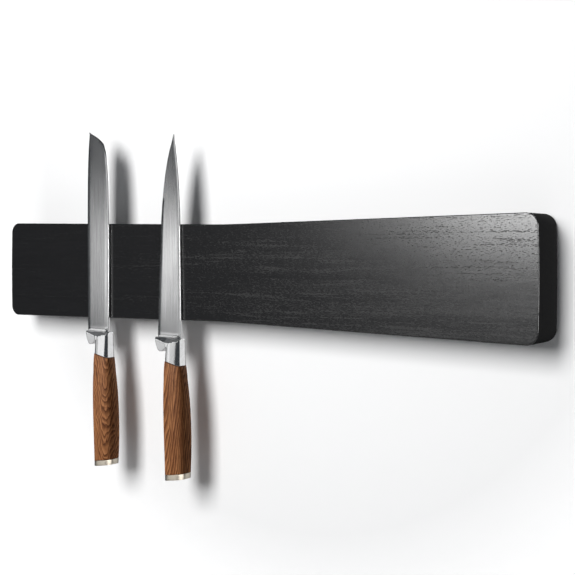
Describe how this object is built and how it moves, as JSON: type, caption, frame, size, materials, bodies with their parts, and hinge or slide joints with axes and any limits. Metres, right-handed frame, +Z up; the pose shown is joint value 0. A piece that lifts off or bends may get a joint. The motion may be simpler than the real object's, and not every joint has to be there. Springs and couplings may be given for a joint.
{
  "type": "magnetic knife rack",
  "caption": "Waisted black wooden bar that hangs flat on a wall and holds knives by hidden magnets, with a bread knife and a carving knife on it.",
  "frame": {"origin": "centre of the rack's flat back, on the face of the wall it hangs on", "axes": "+X along the rack to its right end as seen from the room, +Y into the wall so that the front faces -Y, +Z up"},
  "size_m": [0.4596, 0.0722, 0.2575],
  "materials": {
    "stained_wood": "black-stained open-grain wood, satin lacquer",
    "back_ply": "dark-stained plywood, matt",
    "magnet_coating": "plated sintered magnet",
    "yoke_steel": "plain steel strip",
    "zinc_steel": "zinc-plated steel",
    "plug_plastic": "moulded nylon",
    "blade_steel": "stainless steel, fine lengthwise brushing",
    "bolster_steel": "polished stainless steel",
    "handle_wood": "oiled figured hardwood",
    "cap_steel": "satin steel with a warm tone"
  },
  "bodies": {
    "wall_fixings": {"left_wall_screw": "zinc_steel", "right_wall_screw": "zinc_steel", "left_wall_plug": "plug_plastic", "right_wall_plug": "plug_plastic"},
    "rack": {"wood_body": "stained_wood", "back_board": "back_ply", "upper_magnet_1": "magnet_coating", "upper_magnet_2": "magnet_coating", "upper_magnet_3": "magnet_coating", "upper_magnet_4": "magnet_coating", "upper_magnet_5": "magnet_coating", "upper_magnet_6": "magnet_coating", "upper_magnet_7": "magnet_coating", "upper_magnet_8": "magnet_coating", "lower_magnet_1": "magnet_coating", "lower_magnet_2": "magnet_coating", "lower_magnet_3": "magnet_coating", "lower_magnet_4": "magnet_coating", "lower_magnet_5": "magnet_coating", "lower_magnet_6": "magnet_coating", "lower_magnet_7": "magnet_coating", "lower_magnet_8": "magnet_coating", "upper_yoke": "yoke_steel", "lower_yoke": "yoke_steel", "left_keyhole_hanger": "zinc_steel", "right_keyhole_hanger": "zinc_steel", "left_hanger_upper_screw": "zinc_steel", "left_hanger_lower_screw": "zinc_steel", "right_hanger_upper_screw": "zinc_steel", "right_hanger_lower_screw": "zinc_steel"},
    "bread_knife": {"bread_knife_blade": "blade_steel", "bread_knife_bolster": "bolster_steel", "bread_knife_handle": "handle_wood", "bread_knife_end_cap": "cap_steel"},
    "carving_knife": {"carving_knife_blade": "blade_steel", "carving_knife_bolster": "bolster_steel", "carving_knife_handle": "handle_wood", "carving_knife_end_cap": "cap_steel"}
  },
  "joints": [
    {"name": "rack_lift", "type": "slide", "parent": "wall_fixings", "child": "rack", "axis": [0, 0, 1], "range_m": [0, 0.009]},
    {"name": "bread_knife_pull", "type": "slide", "parent": "rack", "child": "bread_knife", "axis": [0, -1, 0], "range_m": [0, 0.15]},
    {"name": "carving_knife_pull", "type": "slide", "parent": "rack", "child": "carving_knife", "axis": [0, -1, 0], "range_m": [0, 0.15]}
  ]
}
